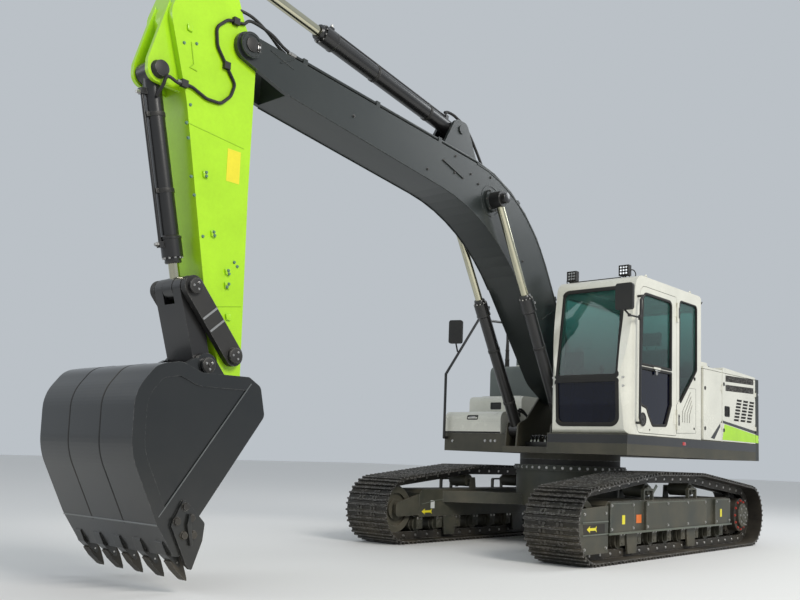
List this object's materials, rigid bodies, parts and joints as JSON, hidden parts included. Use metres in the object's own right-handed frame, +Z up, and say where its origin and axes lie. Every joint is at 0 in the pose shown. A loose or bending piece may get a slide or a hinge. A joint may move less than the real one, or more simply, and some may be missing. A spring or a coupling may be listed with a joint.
{
  "type": "crawler excavator",
  "caption": "Hydraulic crawler excavator with a slewing upper frame, a glazed cab, a cranked boom, an arm and a toothed bucket worked by cylinders.",
  "frame": {"origin": "bottom centre of the bounding box, on the ground between the tracks, forward of the slew axis by 1749 mm", "axes": "+X forward, towards the bucket; +Y to the machine left, where the cab is; +Z up"},
  "size_m": [9.198, 2.99, 5.0379],
  "materials": {
    "frame_paint": "satin dark olive grey paint",
    "track_steel": "black rolled steel, worn bright on the lugs",
    "cast_steel": "dark cast steel",
    "skirt_paint": "satin dark grey paint",
    "counterweight_paint": "satin dark slate paint",
    "body_paint": "glossy off-white paint",
    "tank_paint": "satin dark grey paint",
    "window_glass": "green tinted glass",
    "black_plastic": "black moulded plastic",
    "seat_cloth": "dark woven cloth",
    "black_paint": "satin black paint",
    "boom_paint": "satin dark slate green paint",
    "arm_paint": "glossy lime green paint",
    "bucket_paint": "satin dark blue-grey paint",
    "hose_rubber": "black hydraulic hose cover",
    "rod_chrome": "ground hard chrome"
  },
  "bodies": {
    "undercarriage": {"car_body": "frame_paint", "track_frames": "frame_paint", "left_track": "track_steel", "right_track": "track_steel", "front_idlers": "frame_paint", "sprockets": "cast_steel", "track_rollers": "frame_paint", "slew_bearing": "cast_steel"},
    "upper": {"upper_frame": "skirt_paint", "counterweight": "counterweight_paint", "engine_block": "cast_steel", "body_frame": "body_paint", "fuel_tank": "tank_paint", "step_box": "body_paint", "toolbox": "body_paint", "cab_shell": "body_paint", "cab_glass": "window_glass", "seat_base": "black_plastic", "seat_cushion": "seat_cloth", "seat_back": "seat_cloth", "control_console": "black_plastic", "handrails": "black_paint", "mirrors": "black_plastic", "work_lamps": "black_plastic"},
    "cab_door_leaf": {"cab_door": "body_paint", "cab_door_glass": "window_glass"},
    "hood_leaf": {"hood": "body_paint", "exhaust": "cast_steel"},
    "left_front_leaf": {"left_front_door": "body_paint"},
    "left_rear_leaf": {"left_rear_door": "body_paint"},
    "right_leaf": {"right_door": "body_paint"},
    "toolbox_leaf": {"toolbox_lid": "body_paint"},
    "boom_arm": {"boom": "boom_paint"},
    "stick": {"arm": "arm_paint", "arm_hose": "hose_rubber"},
    "bucket_tool": {"bucket": "bucket_paint", "bucket_teeth": "cast_steel"},
    "rockers": {"rocker_links": "cast_steel"},
    "link": {"bucket_link": "black_paint"},
    "boom_cylinders": {"boom_barrels": "black_paint"},
    "boom_pistons": {"boom_rods": "rod_chrome"},
    "arm_cylinder": {"arm_barrel": "black_paint"},
    "arm_piston": {"arm_rod": "rod_chrome"},
    "bucket_cylinder": {"bucket_barrel": "black_paint"},
    "bucket_piston": {"bucket_rod": "rod_chrome"}
  },
  "joints": [
    {"name": "swing", "type": "hinge", "parent": "undercarriage", "child": "upper", "pos_m": [-1.749, 0, 0.9935], "axis": [0, 0, 1], "continuous": true},
    {"name": "boom_lift", "type": "hinge", "parent": "upper", "child": "boom_arm", "pos_m": [-1.652, 0, 1.79], "axis": [0, -1, 0], "range_deg": [-62, 30]},
    {"name": "arm_swing", "type": "hinge", "parent": "boom_arm", "child": "stick", "pos_m": [3.538, 0, 4.189], "axis": [0, 1, 0], "range_deg": [-83, 36]},
    {"name": "bucket_curl", "type": "hinge", "parent": "stick", "child": "bucket_tool", "pos_m": [3.526, 0, 1.27], "axis": [0, 1, 0], "range_deg": [-4, 160]},
    {"name": "cab_door_hinge", "type": "hinge", "parent": "upper", "child": "cab_door_leaf", "pos_m": [-1.762, 1.378, 1.8], "axis": [0, 0, 1], "range_deg": [0, 165]},
    {"name": "hood_hinge", "type": "hinge", "parent": "upper", "child": "hood_leaf", "pos_m": [-4.137, 0, 2.1635], "axis": [0, -1, 0], "range_deg": [0, 55]},
    {"name": "left_front_door_hinge", "type": "hinge", "parent": "upper", "child": "left_front_leaf", "pos_m": [-3.033, 1.372, 1.7], "axis": [0, 0, 1], "range_deg": [0, 100]},
    {"name": "left_rear_door_hinge", "type": "hinge", "parent": "upper", "child": "left_rear_leaf", "pos_m": [-4.136, 1.372, 1.7], "axis": [0, 0, 1], "range_deg": [0, 100]},
    {"name": "right_door_hinge", "type": "hinge", "parent": "upper", "child": "right_leaf", "pos_m": [-4.136, -1.372, 1.7], "axis": [0, 0, -1], "range_deg": [0, 100]},
    {"name": "toolbox_lid_hinge", "type": "hinge", "parent": "upper", "child": "toolbox_leaf", "pos_m": [-1.497, 0, 1.552], "axis": [0, -1, 0], "range_deg": [0, 75]},
    {"name": "boom_cylinder_turn", "type": "hinge", "parent": "upper", "child": "boom_cylinders", "pos_m": [-1.069, 0, 1.33], "axis": [0, -1, 0], "range_deg": [-64.5, 31.5]},
    {"name": "boom_piston_slide", "type": "slide", "parent": "boom_cylinders", "child": "boom_pistons", "axis": [0.4928, 0, 0.8702], "range_m": [-0.71, 0.345]},
    {"name": "arm_cylinder_turn", "type": "hinge", "parent": "boom_arm", "child": "arm_cylinder", "pos_m": [0.689, 0, 4.374], "axis": [0, 1, 0], "range_deg": [-5, 2.2]},
    {"name": "arm_piston_slide", "type": "slide", "parent": "arm_cylinder", "child": "arm_piston", "axis": [0.9842, 0, 0.177], "range_m": [-1.05, 0.46]},
    {"name": "rocker_turn", "type": "hinge", "parent": "stick", "child": "rockers", "pos_m": [3.533, 0, 1.699], "axis": [0, 1, 0], "range_deg": [-3, 103.5]},
    {"name": "link_turn", "type": "hinge", "parent": "rockers", "child": "link", "pos_m": [3.931, 0, 2.178], "axis": [0, 1, 0], "range_deg": [-62.5, 2.5]},
    {"name": "bucket_cylinder_turn", "type": "hinge", "parent": "stick", "child": "bucket_cylinder", "pos_m": [4.276, 0, 3.758], "axis": [0, 1, 0], "range_deg": [-4.3, 0.3]},
    {"name": "bucket_piston_slide", "type": "slide", "parent": "bucket_cylinder", "child": "bucket_piston", "axis": [-0.2133, 0, -0.977], "range_m": [-0.038, 0.97]}
  ],
  "couplings": [
    {"joint": "boom_cylinder_turn", "follows": "boom_lift", "ratio": 1.0355},
    {"joint": "boom_piston_slide", "follows": "boom_lift", "m_per_rad": 0.6502},
    {"joint": "arm_cylinder_turn", "follows": "arm_swing", "ratio": 0.0574},
    {"joint": "arm_piston_slide", "follows": "arm_swing", "m_per_rad": 0.7192},
    {"joint": "rocker_turn", "follows": "bucket_curl", "ratio": 0.64465},
    {"joint": "link_turn", "follows": "bucket_curl", "ratio": -0.38735},
    {"joint": "bucket_cylinder_turn", "follows": "bucket_curl", "ratio": -0.025898},
    {"joint": "bucket_piston_slide", "follows": "bucket_curl", "m_per_rad": 0.34539}
  ]
}
